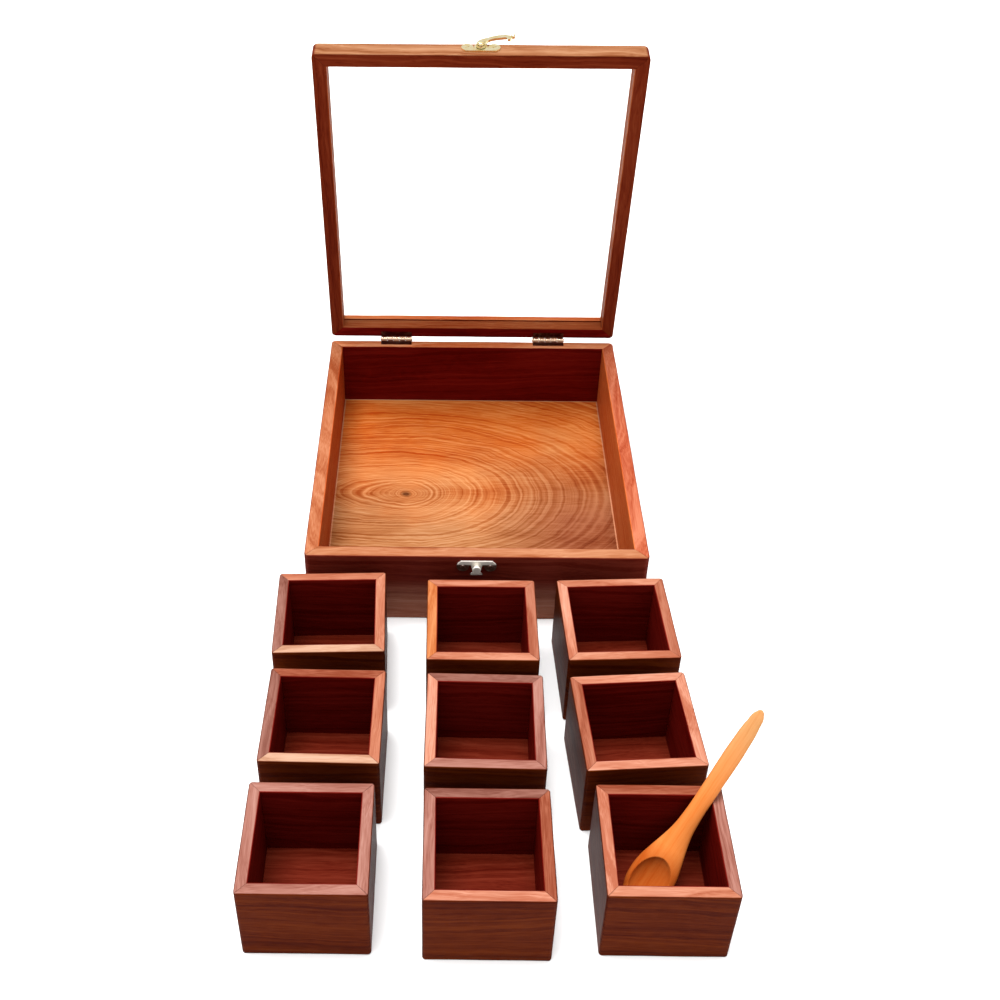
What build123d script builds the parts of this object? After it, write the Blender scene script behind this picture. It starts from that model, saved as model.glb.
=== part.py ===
from build123d import *
import os
from math import cos, sin, radians

# A wooden spice box: a mitred box with a glazed lid on two butt hinges, a swinging hook
# latch, nine loose square cups and a small wooden spoon. Millimetres. X runs across the
# box, Y from the front of the box to its back, Z up. The origin is the centre of the
# box's underside.

os.makedirs("parts", exist_ok=True)

# box
box_width = 230.0
box_depth = 256.0
box_height = 58.0
box_wall = 9.5
box_corner = 3.5
panel_thickness = 5.0
groove_depth = 4.0
rim_ease = 0.6

# lid
lid_thickness = 16.5
lid_rail = 10.0
lid_gap = 0.3
lid_open_angle = 81.5
lid_round_over = 3.0
glass_above_joint = 9.0
glass_thickness = 2.5

# butt hinges
hinge_offset = 2.4
hinge_spacing = 124.0
hinge_length = 25.0
hinge_knuckles = 5
knuckle_radius = 2.1
knuckle_gap = 0.3
pin_radius = 0.9
pin_clearance = 0.05
pin_head_radius = 1.5
pin_head_length = 0.8
leaf_thickness = 1.2
leaf_reach = 5.2
leaf_screw_spacing = 15.0

# hook latch
plate_thickness = 1.2
plate_from_joint = 4.0
hook_gap = 0.3
hook_thickness = 1.8
pivot_from_joint = 9.0
stud_from_joint = 8.0
stud_radius = 1.8
stud_head_radius = 2.9
stud_head_height = 1.0
rivet_depth = 4.5
hook_rest_turn = 113.0
latch_head_height = 0.9
strike_head_height = 0.55

# cups
cup_width = 69.8
cup_height = 56.0
cup_wall = 6.9
cup_corner = 2.0
cup_rim_ease = 0.5
cup_base_thickness = 4.0

# where each cup stands on the table: centre x, centre y, turn in degrees
cup_places = {
    "cup_back_left": (-93.5, -177.0, 1.8),
    "cup_middle_left": (-91.5, -260.0, -0.8),
    "cup_front_left": (-94.0, -343.0, 0.0),
    "cup_back_middle": (2.5, -182.0, 0.0),
    "cup_centre": (3.0, -262.5, -0.9),
    "cup_front_middle": (3.0, -345.5, 0.0),
    "cup_back_right": (88.0, -180.0, 2.6),
    "cup_middle_right": (91.5, -261.5, 3.9),
    "cup_front_right": (98.0, -342.0, 0.0),
}

# spoon
spoon_bowl_in_cup = (-5.1, -0.8, 18.1)
spoon_heading = 41.6
spoon_lean = 46.2
spoon_roll = 20.0
# sections across the spoon, from the bowl's tip to the handle's end:
# place along the spoon, half width, half thickness, height of the section's middle
spoon_sections = [
    (-18.5, 2.0, 1.2, 1.6),
    (-16.0, 6.6, 2.6, 0.6),
    (-9.0, 11.2, 4.2, -0.8),
    (0.0, 12.6, 4.8, -1.4),
    (8.0, 12.0, 4.7, -2.2),
    (16.0, 10.0, 4.1, -3.0),
    (24.0, 7.8, 3.4, -3.2),
    (32.0, 6.0, 3.0, -2.8),
    (45.0, 4.9, 2.6, -1.4),
    (60.0, 4.8, 2.4, 0.0),
    (90.0, 4.9, 2.1, 0.8),
    (104.0, 4.0, 1.8, 0.4),
    (111.3, 2.4, 1.3, 0.1),
    (113.8, 0.9, 0.7, 0.0),
]
# the bowl's hollow is half an ellipsoid: half length, half width, depth, and its rim's height
bowl_hollow = (15.8, 10.6, 6.6)
bowl_rim_height = 3.5


# frames ----------------------------------------------------------------------------------

# the lid's own frame: on the hinge axis, Z out of the lid's top and Y to its back edge when shut
hinge_y = box_depth / 2 + hinge_offset
hinge_z = box_height + lid_gap / 2
open_angle = radians(lid_open_angle)
lid_frame = Plane(
    origin=(0, hinge_y, hinge_z), x_dir=(1, 0, 0), z_dir=(0, sin(open_angle), cos(open_angle))
)
lid_bottom = lid_gap / 2
lid_centre_y = -(hinge_offset + box_depth / 2)
lid_front_y = -(hinge_offset + box_depth)

# the box's own hinge frame, level, on the same axis
box_hinge_frame = Plane(origin=(0, hinge_y, hinge_z), x_dir=(1, 0, 0), z_dir=(0, 0, 1))

# the two front faces, each with Y away from the table and Z out of the wood
box_front = Plane(origin=(0, -box_depth / 2, box_height), x_dir=(1, 0, 0), z_dir=(0, -1, 0))
lid_front = Plane(
    origin=lid_frame.from_local_coords((0, lid_front_y, lid_bottom)),
    x_dir=(1, 0, 0),
    z_dir=-lid_frame.y_dir,
)
hook_turn = radians(hook_rest_turn)
hook_frame = Plane(
    origin=lid_front.from_local_coords((0, pivot_from_joint, 0)),
    x_dir=lid_front.x_dir * cos(hook_turn) + lid_front.y_dir * sin(hook_turn),
    z_dir=lid_front.z_dir,
)


def finish(part, name):
    """Label a finished piece and write it as its own STEP file."""
    part.label = name
    export_step(part, f"parts/{name}.step")


def mitred_side(side, width, depth, wall, corner):
    """Plan of one side of a mitred frame: the rounded ring, cut on its corner diagonals."""
    outer = {
        "front": ((-1, -1), (1, -1)),
        "back": ((1, 1), (-1, 1)),
        "left": ((-1, 1), (-1, -1)),
        "right": ((1, -1), (1, 1)),
    }[side]
    ends = [(x * width / 2, y * depth / 2) for x, y in outer]
    inner = [(x * (width / 2 - wall), y * (depth / 2 - wall)) for x, y in reversed(outer)]
    with BuildSketch() as plan:
        RectangleRounded(width, depth, corner)
        Rectangle(width - 2 * wall, depth - 2 * wall, mode=Mode.SUBTRACT)
        with BuildLine():
            Polyline(*ends, *inner, close=True)
        make_face(mode=Mode.INTERSECT)
    return plan.sketch


def runs_along(edge, way):
    """Whether a straight edge runs along a direction."""
    return edge.geom_type == GeomType.LINE and abs((edge % 0.5).dot(way)) > 0.999


def long_edges(part, side, normal, top):
    """The edges that run along a mitred board, on its face that is furthest along a normal."""
    across = Axis.X if side in ("front", "back") else Axis((0, 0, 0), normal.cross(Vector(1, 0, 0)))
    faces = part.faces().sort_by(Axis((0, 0, 0), normal))
    face = faces[-1] if top else faces[0]
    return face.edges().filter_by(across)


# hinges ----------------------------------------------------------------------------------

def knuckle_span(index):
    """Start and end of one knuckle along the hinge, with half a gap left at each end."""
    pitch = hinge_length / hinge_knuckles
    start = -hinge_length / 2 + index * pitch
    return start + knuckle_gap / 2, start + pitch - knuckle_gap / 2


def hinge_leaf(frame, face, first_knuckle):
    """One leaf: a plate let into the wood, with straps to every second knuckle.

    face is the height of the wood's face in the frame; the plate lies just inside the wood,
    which is below the face on the box and above it on the lid.
    """
    inward = 1 if face > 0 else -1
    plate_end = -(hinge_offset + leaf_reach)
    plate_start = -(knuckle_radius + knuckle_gap)
    axis_plane = Plane(origin=frame.origin, x_dir=frame.y_dir, z_dir=frame.x_dir)
    with BuildPart() as leaf:
        with BuildSketch(frame.offset(face)):
            with Locations((0, (plate_end + plate_start) / 2)):
                Rectangle(hinge_length, plate_start - plate_end)
        extrude(amount=inward * leaf_thickness)
        for index in range(first_knuckle, hinge_knuckles, 2):
            start, end = knuckle_span(index)
            with BuildSketch(axis_plane.offset(start)):
                Circle(knuckle_radius)
            extrude(amount=end - start)
            with BuildSketch(frame.offset(face)):
                with Locations(((start + end) / 2, plate_start / 2 - 0.5)):
                    Rectangle(end - start, -plate_start + 1.0)
            extrude(amount=inward * leaf_thickness)
        with BuildSketch(axis_plane.offset(-hinge_length / 2)):
            Circle(pin_radius + pin_clearance)
        extrude(amount=hinge_length, mode=Mode.SUBTRACT)
    return leaf.part


def hinge_pin(frame):
    """The pin, with a low head at each end that holds it in the box's end knuckles."""
    axis_plane = Plane(origin=frame.origin, x_dir=frame.y_dir, z_dir=frame.x_dir)
    half = hinge_length / 2 - knuckle_gap / 2
    with BuildPart() as pin:
        with BuildSketch(axis_plane.offset(-half)):
            Circle(pin_radius)
        extrude(amount=2 * half)
        for end, way in ((-half, -1), (half, 1)):
            with BuildSketch(axis_plane.offset(end)):
                Circle(pin_head_radius)
            extrude(amount=way * pin_head_length)
    return pin.part


def screws(frame, points, head_radius, head_height, shank_radius, length, sunk):
    """Wood screws along a frame's normal, in one group: their bodies without the slots."""
    with BuildPart() as group:
        with BuildSketch(frame):
            with Locations(*points):
                Circle(shank_radius)
        extrude(amount=-length)
        if sunk:
            with BuildSketch(frame):
                with Locations(*points):
                    Circle(head_radius)
            extrude(amount=-head_height, taper=40)
        else:
            with BuildSketch(frame):
                with Locations(*points):
                    Circle(head_radius)
            extrude(amount=head_height, taper=30)
    return group.part


def cut_slots(group, frame, points, top, slot_length):
    """Cut a straight screwdriver slot in the head of every screw of a group.

    top is how high the heads stand above the frame.
    """
    with BuildPart() as slotted:
        add(group)
        with BuildSketch(frame.offset(top)):
            with Locations(*points):
                Rectangle(slot_length, 0.5, rotation=25)
        extrude(amount=-0.45, mode=Mode.SUBTRACT)
    return slotted.part


hinge_places = (("left", -hinge_spacing / 2), ("right", hinge_spacing / 2))
leaf_screw_y = -(hinge_offset + leaf_reach * 0.55)
leaf_screw_x = [x + s * leaf_screw_spacing / 2 for _, x in hinge_places for s in (-1, 1)]
leaf_points = [(x, leaf_screw_y) for x in leaf_screw_x]

# the lid's leaves are screwed from below, so their frame looks out of the mating face
lid_under = Plane(
    origin=lid_frame.from_local_coords((0, 0, lid_bottom)), x_dir=(1, 0, 0), z_dir=-lid_frame.z_dir
)
box_rim = box_hinge_frame.offset(-lid_gap / 2)
leaf_points_below = [(x, -y) for x, y in leaf_points]
box_leaf_screws = screws(box_rim, leaf_points, 1.7, 1.0, 0.9, 9.0, True)
lid_leaf_screws = screws(lid_under, leaf_points_below, 1.7, 1.0, 0.9, 9.0, True)

leaves = {}
for place, x in hinge_places:
    box_frame = Plane(
        origin=box_hinge_frame.from_local_coords((x, 0, 0)), x_dir=(1, 0, 0), z_dir=(0, 0, 1)
    )
    lid_side = Plane(
        origin=lid_frame.from_local_coords((x, 0, 0)), x_dir=(1, 0, 0), z_dir=lid_frame.z_dir
    )
    with BuildPart() as box_leaf:
        add(hinge_leaf(box_frame, -lid_gap / 2, 0))
        add(box_leaf_screws, mode=Mode.SUBTRACT)
    with BuildPart() as lid_leaf:
        add(hinge_leaf(lid_side, lid_bottom, 1))
        add(lid_leaf_screws, mode=Mode.SUBTRACT)
    leaves[f"hinge_{place}_box_leaf"] = box_leaf.part
    leaves[f"hinge_{place}_lid_leaf"] = lid_leaf.part
    leaves[f"hinge_{place}_pin"] = hinge_pin(box_frame)

for name, leaf in leaves.items():
    finish(leaf, name)
finish(cut_slots(box_leaf_screws, box_rim, leaf_points, 0, 3.0), "hinge_screws_box")
finish(cut_slots(lid_leaf_screws, lid_under, leaf_points_below, 0, 3.0), "hinge_screws_lid")


# latch -----------------------------------------------------------------------------------

plate_screw_x = 9.2
plate_screw_y = 4.6
plate_screw_points = [(-plate_screw_x, plate_screw_y), (plate_screw_x, plate_screw_y)]


def bow_plate(lobe_radius, boss_radius):
    """Outline of a latch plate: a straight edge on the X axis, two round lobes and a boss."""
    with BuildSketch() as outline:
        with BuildLine():
            Polyline((-10.5, 0), (10.5, 0), (13.2, 3.2), (13.2, 4), (-13.2, 4), (-13.2, 3.2), close=True)
        make_face()
        with Locations(*plate_screw_points):
            Circle(lobe_radius)
        with Locations((0, 5.0)):
            Circle(boss_radius)
        fillet(outline.vertices().group_by(Axis.Y)[-2], 0.6)
    return outline.sketch


latch_plane = Plane(
    origin=lid_front.from_local_coords((0, plate_from_joint, 0)), x_dir=(1, 0, 0), z_dir=lid_front.z_dir
)
# the strike plate is the same bow turned upside down, with its straight edge to the rim
strike_plane = Plane(
    origin=box_front.from_local_coords((0, -plate_from_joint + 0.8, 0)),
    x_dir=(-1, 0, 0),
    z_dir=box_front.z_dir,
)
stud_y = stud_from_joint - plate_from_joint + 0.8

# the hook's arm sweeps over the latch's screws, so they are sunk; the catch's are domed
latch_screw_top = latch_plane.offset(plate_thickness)
strike_screw_top = strike_plane.offset(plate_thickness)
latch_screws = screws(
    latch_screw_top, plate_screw_points, 1.9, latch_head_height, 0.8, 6.0, True
)
strike_screws = screws(
    strike_screw_top, plate_screw_points, 1.7, strike_head_height, 0.8, 7.5, False
)

with BuildPart() as latch_rivet:
    with BuildSketch(hook_frame.offset(-rivet_depth)):
        Circle(1.5)
    extrude(amount=rivet_depth + plate_thickness + 2 * hook_gap + hook_thickness)
    with BuildSketch(hook_frame.offset(plate_thickness + 2 * hook_gap + hook_thickness)):
        Circle(2.8)
    extrude(amount=1.4)
    fillet(latch_rivet.faces().sort_by(Axis((0, 0, 0), hook_frame.z_dir))[-1].edges(), 1.1)

with BuildPart() as latch_plate:
    with BuildSketch(latch_plane):
        add(bow_plate(4.1, 4.6))
    extrude(amount=plate_thickness)
    add(latch_screws, mode=Mode.SUBTRACT)
    add(latch_rivet.part, mode=Mode.SUBTRACT)

# the catch: a post with a broad head, and below it the plate's two-toed foot
with BuildPart() as strike_plate:
    with BuildSketch(strike_plane):
        add(bow_plate(4.1, 3.4))
        with BuildLine():
            Polyline((-2.6, 5), (2.6, 5), (2.2, 9.6), (4.4, 12.0), (-4.4, 12.0), (-2.2, 9.6), close=True)
        make_face()
    extrude(amount=plate_thickness)
    with BuildSketch(strike_plane.offset(plate_thickness)):
        with Locations((0, stud_y)):
            Circle(stud_radius)
    extrude(amount=2 * hook_gap + hook_thickness + 0.4)
    with BuildSketch(strike_plane.offset(plate_thickness + 2 * hook_gap + hook_thickness)):
        with Locations((0, stud_y)):
            Circle(stud_head_radius)
    extrude(amount=stud_head_height)
    fillet(strike_plate.faces().sort_by(Axis.Y)[0].edges(), 0.7)
    add(strike_screws, mode=Mode.SUBTRACT)

# the hook, drawn hanging down from its pivot as it is when the box is shut: a ring on the
# pivot, an arm that passes to the right of the catch, a finger under it and a lifted tail
reach = pivot_from_joint + lid_gap + stud_from_joint
finger_top = -(reach + stud_radius + hook_gap)
with BuildPart() as latch_hook:
    with BuildSketch(hook_frame.offset(plate_thickness + hook_gap)):
        Circle(3.3)
        with BuildLine():
            arm_out = Spline(
                (1.6, 2.6), (5.9, -6.5), (5.4, finger_top + 0.5), (0.6, finger_top - 5.6),
                tangents=((1, -0.3), (-0.9, -0.7)),
            )
            tail_end = Line(arm_out @ 1, (-1.0, finger_top - 3.2))
            finger_low = Line(tail_end @ 1, (-1.6, finger_top - 1.8))
            finger_tip = Line(finger_low @ 1, (-1.2, finger_top))
            finger_in = Line(finger_tip @ 1, (1.2, finger_top))
            throat = Spline(
                finger_in @ 1, (stud_radius + hook_gap, -reach), (2.6, -7.0), (-1.6, -2.4),
                tangents=((1, 0.6), (-0.8, 0.6)),
            )
            Line(throat @ 1, arm_out @ 0)
        make_face()
        Circle(1.5 + pin_clearance, mode=Mode.SUBTRACT)
    extrude(amount=hook_thickness, dir=hook_frame.z_dir)
    with BuildSketch(hook_frame.offset(plate_thickness + hook_gap + hook_thickness / 2)):
        with Locations((0.4, finger_top - 4.9)):
            Circle(1.5)
    extrude(amount=2.6)
    fillet(latch_hook.faces().sort_by(Axis((0, 0, 0), hook_frame.z_dir))[-1].edges(), 1.0)

finish(latch_plate.part, "latch_plate")
finish(latch_rivet.part, "latch_rivet")
finish(latch_hook.part, "latch_hook")
finish(strike_plate.part, "strike_plate")
finish(cut_slots(latch_screws, latch_screw_top, plate_screw_points, 0, 3.0), "latch_screws")
finish(
    cut_slots(strike_screws, strike_screw_top, plate_screw_points, strike_head_height, 2.8),
    "strike_screws",
)


# box -------------------------------------------------------------------------------------

inner_width = box_width - 2 * box_wall
inner_depth = box_depth - 2 * box_wall

with BuildPart() as base_panel:
    with BuildSketch(Plane.XY):
        Rectangle(inner_width + 2 * groove_depth, inner_depth + 2 * groove_depth)
    extrude(amount=panel_thickness)
finish(base_panel.part, "box_base_panel")

for side in ("front", "back", "left", "right"):
    with BuildPart() as board:
        with BuildSketch(Plane.XY):
            add(mitred_side(side, box_width, box_depth, box_wall, box_corner))
        extrude(amount=box_height)
        fillet(long_edges(board.part, side, Vector(0, 0, 1), True), rim_ease)
        fillet(long_edges(board.part, side, Vector(0, 0, 1), False), rim_ease)
        add(base_panel.part, mode=Mode.SUBTRACT)
        if side == "back":
            for name, leaf in leaves.items():
                if name.endswith("box_leaf"):
                    add(leaf, mode=Mode.SUBTRACT)
            add(box_leaf_screws, mode=Mode.SUBTRACT)
        if side == "front":
            add(strike_screws, mode=Mode.SUBTRACT)
    finish(board.part, f"box_{side}_board")


# lid -------------------------------------------------------------------------------------

glass_width = box_width - 2 * lid_rail + 2 * groove_depth
glass_depth = box_depth - 2 * lid_rail + 2 * groove_depth

with BuildPart() as lid_glass:
    with BuildSketch(lid_frame.offset(lid_bottom + glass_above_joint)):
        with Locations((0, lid_centre_y)):
            Rectangle(glass_width, glass_depth)
    extrude(amount=glass_thickness)
finish(lid_glass.part, "lid_glass")

for side in ("front", "back", "left", "right"):
    with BuildPart() as rail:
        with BuildSketch(lid_frame.offset(lid_bottom)):
            with Locations((0, lid_centre_y)):
                add(mitred_side(side, box_width, box_depth, lid_rail, box_corner))
        extrude(amount=lid_thickness)
        top_edges = long_edges(rail.part, side, lid_frame.z_dir, True)
        fillet(top_edges.sort_by(SortBy.LENGTH)[-1:], lid_round_over)
        under_edges = long_edges(rail.part, side, lid_frame.z_dir, False)
        fillet(under_edges, rim_ease)
        add(lid_glass.part, mode=Mode.SUBTRACT)
        if side == "back":
            for name, leaf in leaves.items():
                if name.endswith("lid_leaf"):
                    add(leaf, mode=Mode.SUBTRACT)
            add(lid_leaf_screws, mode=Mode.SUBTRACT)
        if side == "front":
            add(latch_screws, mode=Mode.SUBTRACT)
            add(latch_rivet.part, mode=Mode.SUBTRACT)
    finish(rail.part, f"lid_{side}_rail")


# cups ------------------------------------------------------------------------------------

cup_inside = cup_width - 2 * cup_wall

for cup, (x, y, turn) in cup_places.items():
    cup_plane = Plane(
        origin=(x, y, 0), x_dir=(cos(radians(turn)), sin(radians(turn)), 0), z_dir=(0, 0, 1)
    )
    for pair, sides in (("end_boards", ("front", "back")), ("side_boards", ("left", "right"))):
        with BuildPart() as boards:
            with BuildSketch(cup_plane):
                for side in sides:
                    add(mitred_side(side, cup_width, cup_width, cup_wall, cup_corner))
            extrude(amount=cup_height)
            rim_faces = boards.faces().sort_by(Axis.Z)[-2:]
            rim_way = cup_plane.x_dir if pair == "end_boards" else cup_plane.y_dir
            rim_edges = [e for face in rim_faces for e in face.edges() if runs_along(e, rim_way)]
            fillet(rim_edges, cup_rim_ease)
        finish(boards.part, f"{cup}_{pair}")
    with BuildPart() as base:
        with BuildSketch(cup_plane):
            Rectangle(cup_inside, cup_inside)
        extrude(amount=cup_base_thickness)
    finish(base.part, f"{cup}_base")


# spoon -----------------------------------------------------------------------------------

heading, lean, roll = radians(spoon_heading), radians(spoon_lean), radians(spoon_roll)
along = Vector(cos(heading) * cos(lean), sin(heading) * cos(lean), sin(lean))
upward = Vector(-cos(heading) * sin(lean), -sin(heading) * sin(lean), cos(lean))
bowl_normal = upward * cos(roll) + along.cross(upward) * sin(roll)
cup_x, cup_y, _ = cup_places["cup_front_right"]
bowl_centre = Vector(cup_x, cup_y, 0) + Vector(*spoon_bowl_in_cup)
spoon_frame = Plane(origin=bowl_centre, x_dir=along, z_dir=bowl_normal)

with BuildPart() as wooden_spoon:
    for place, half_width, half_thick, height in spoon_sections:
        section = Plane(
            origin=spoon_frame.from_local_coords((place, 0, height)),
            x_dir=spoon_frame.y_dir,
            z_dir=spoon_frame.x_dir,
        )
        with BuildSketch(section):
            Ellipse(half_width, half_thick)
    loft()
    hollow = scale(Sphere(1, mode=Mode.PRIVATE), by=bowl_hollow, mode=Mode.PRIVATE)
    add(spoon_frame.offset(bowl_rim_height).location * hollow, mode=Mode.SUBTRACT)
finish(wooden_spoon.part, "wooden_spoon")
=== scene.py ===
"""A sheesham spice box: mitred box, glazed lid on brass butt hinges, hook latch, nine loose cups
and a small spoon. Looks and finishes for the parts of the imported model, in metres."""

import bmesh
import bpy
import numpy as np
from mathutils import Matrix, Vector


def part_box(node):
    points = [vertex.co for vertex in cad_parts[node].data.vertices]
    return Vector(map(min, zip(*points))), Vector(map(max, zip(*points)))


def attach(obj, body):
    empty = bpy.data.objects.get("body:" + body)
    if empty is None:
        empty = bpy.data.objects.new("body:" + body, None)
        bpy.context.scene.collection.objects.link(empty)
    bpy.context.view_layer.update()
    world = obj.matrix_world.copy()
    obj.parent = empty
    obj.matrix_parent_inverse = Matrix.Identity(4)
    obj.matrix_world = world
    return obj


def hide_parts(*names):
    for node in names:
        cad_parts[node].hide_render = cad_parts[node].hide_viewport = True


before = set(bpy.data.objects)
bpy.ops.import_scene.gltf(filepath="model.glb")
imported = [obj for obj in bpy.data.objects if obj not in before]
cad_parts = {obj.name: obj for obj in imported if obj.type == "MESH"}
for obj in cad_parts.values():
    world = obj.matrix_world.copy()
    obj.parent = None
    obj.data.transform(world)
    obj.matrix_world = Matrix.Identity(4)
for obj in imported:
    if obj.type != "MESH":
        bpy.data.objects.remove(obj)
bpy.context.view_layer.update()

MM = 0.001

# sizes, as the parts are made ---------------------------------------------------------------

BOX_SIZE = (230 * MM, 256 * MM)
BOX_HEIGHT = 58 * MM
BOX_WALL = 9.5 * MM
BOX_CORNER = 3.5 * MM
PANEL_THICKNESS = 5 * MM
GROOVE = 4 * MM

LID_THICKNESS = 16.5 * MM
LID_RAIL = 10 * MM
LID_OPEN = np.radians(81.5)
LID_UNDER = 0.15 * MM
HINGE_AXIS = np.array([0, 130.4, 58.15]) * MM
HINGE_OFFSET = 2.4 * MM
GLASS_HEIGHT = 9 * MM
GLASS_THICKNESS = 2.5 * MM

LEAF_CENTRES = (-62 * MM, 62 * MM)
LEAF_LENGTH = 25 * MM
LEAF_REACH = 5.2 * MM
LEAF_THICKNESS = 1.2 * MM

CUP_WIDTH = 69.8 * MM
CUP_HEIGHT = 56 * MM
CUP_WALL = 6.9 * MM
CUP_CORNER = 2 * MM
CUP_BASE = 4 * MM

# the mitres and arrises were cut and sanded by hand
MITRE_OPEN = 0.22 * MM
HAND_SANDING = 0.12 * MM
WORN_EASE = 0.8 * MM

SAME_POINT = 0.0001 * MM
STRAIGHT_STATIONS = 25
ARC_STATIONS = 6


# shapes -------------------------------------------------------------------------------------


def mesh_piece(name, vertices, faces, body, stands_for, material, crease=35):
    """A mesh from its points and faces, closed and facing outwards, that rides on a body."""
    mesh = bpy.data.meshes.new(name)
    mesh.from_pydata(vertices.reshape(-1, 3).tolist(), [], faces)
    worked = bmesh.new()
    worked.from_mesh(mesh)
    bmesh.ops.remove_doubles(worked, verts=worked.verts, dist=SAME_POINT)
    bmesh.ops.recalc_face_normals(worked, faces=worked.faces)
    worked.to_mesh(mesh)
    worked.free()
    mesh.shade_smooth()
    mesh.set_sharp_from_angle(angle=np.radians(crease))
    mesh.materials.append(material)
    piece = bpy.data.objects.new(name, mesh)
    bpy.context.scene.collection.objects.link(piece)
    weighted = piece.modifiers.new("flat faces shade flat", "WEIGHTED_NORMAL")
    weighted.keep_sharp = True
    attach(piece, body)
    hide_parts(*stands_for)
    return piece


def tube_faces(stations, around):
    """Faces of a tube of closed sections, with a flat face on each end."""
    index = np.arange(stations * around).reshape(stations, around)
    beside = np.roll(index, -1, axis=1)
    sides = np.stack([index[:-1], beside[:-1], beside[1:], index[1:]], axis=-1).reshape(-1, 4)
    return sides.tolist() + [index[0, ::-1].tolist(), index[-1].tolist()]


def waver(along, seed, size):
    """The slow unevenness of hand work: the mean of three sine waves of unrelated lengths."""
    phase = np.random.default_rng(seed).uniform(0, 2 * np.pi, 3)
    lengths = np.array([190, 83, 37]) * MM
    return size * np.mean(np.sin(along[..., None] * 2 * np.pi / lengths + phase), axis=-1)


def sections(corners, radii, spacing=9 * MM, arc_steps=4):
    """Closed sections, one for each station. Each square corner becomes a quarter circle that
    touches both its sides: its centre is one radius in along both, and a point at turn t is the
    centre less radius times (cos t along the side after plus sin t along the side before)."""
    before = np.roll(corners, 1, axis=1) - corners
    after = np.roll(corners, -1, axis=1) - corners
    lengths = np.linalg.norm(after, axis=-1)[0]
    before = before / np.linalg.norm(before, axis=-1, keepdims=True)
    after = after / np.linalg.norm(after, axis=-1, keepdims=True)
    radius = radii[..., None]
    centres = corners + radius * (before + after)
    starts = corners + radius * before
    turn = np.linspace(0, np.pi / 2, arc_steps + 1)[None, :, None]
    loop = []
    for k in range(corners.shape[1]):
        step_after = after[:, k, None] * np.cos(turn)
        step_before = before[:, k, None] * np.sin(turn)
        arc = centres[:, k, None] - radius[:, k, None] * (step_after + step_before)
        steps = max(1, int(lengths[k] / spacing))
        share = np.linspace(0, 1, steps + 1)[1:-1][None, :, None]
        ahead = starts[:, (k + 1) % corners.shape[1], None]
        loop += [arc, arc[:, -1:] + share * (ahead - arc[:, -1:])]
    return np.concatenate(loop, axis=1)


def stations(half_run, wall, corner, breaks=()):
    """Where a mitred board's sections stand. The outer point runs along the straight face, then
    round the corner's arc to the mitre at 45 degrees; the inner point runs level with it and is
    squeezed into the shorter inside face near the ends. Returns the outer point's run and inset
    and the inner point's run."""
    even = np.linspace(corner - half_run, half_run - corner, STRAIGHT_STATIONS)
    straight = np.union1d(even, breaks)
    mitre = np.radians(45)
    arc = np.linspace(0, mitre - MITRE_OPEN / corner, ARC_STATIONS)
    turn = np.append(arc[1:], mitre)
    run = half_run - corner + corner * np.sin(turn)
    inset = corner * (1 - np.cos(turn))
    outer_run = np.concatenate([-run[::-1], straight, run])
    outer_inset = np.concatenate([inset[::-1], 0 * straight, inset])
    level_to = half_run - 3 * wall
    squeeze = (half_run - wall - level_to) / (run[-1] - level_to)
    past = np.maximum(np.abs(outer_run) - level_to, 0)
    inner_run = outer_run - np.sign(outer_run) * past * (1 - squeeze)
    return outer_run, outer_inset, inner_run


OUTWARD = {"front": (0, -1), "back": (0, 1), "left": (-1, 0), "right": (1, 0)}


def set_in(outer, inner):
    """The place, as a turn and an origin, of something placed within another place."""
    return outer[0] @ inner[0], outer[0] @ inner[1] + outer[1]


def board_place(side, size, within):
    """The place of one side of a mitred frame: its X runs along the board, its Y up the face,
    and its Z out of the face, from the middle of the outer face's lower edge."""
    x, y = OUTWARD[side]
    turn = np.array([[-y, 0, x], [x, 0, y], [0, 1, 0]], float)
    origin = np.array([x * size[0] / 2, y * size[1] / 2, 0])
    return set_in(within, (turn, origin))


def arrised(height, wall, rim, face, inside):
    """Skins for a board with a sanded upper edge: the edge, paler also as painted top light and
    sheen, then the outer and inner faces carried over their arrises, which stay dark as painted
    shade."""
    return [
        ("Y", height - 0.5 * MM, height - 0.1 * MM, rim),
        ("Z", -0.75 * MM, -0.35 * MM, face),
        # the inner face's timber: deep red as painted shade, and on the box's sides lit and shaded
        # tones
        ("Z", 0.8 * MM - wall, 0.4 * MM - wall, inside),
    ]


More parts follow.
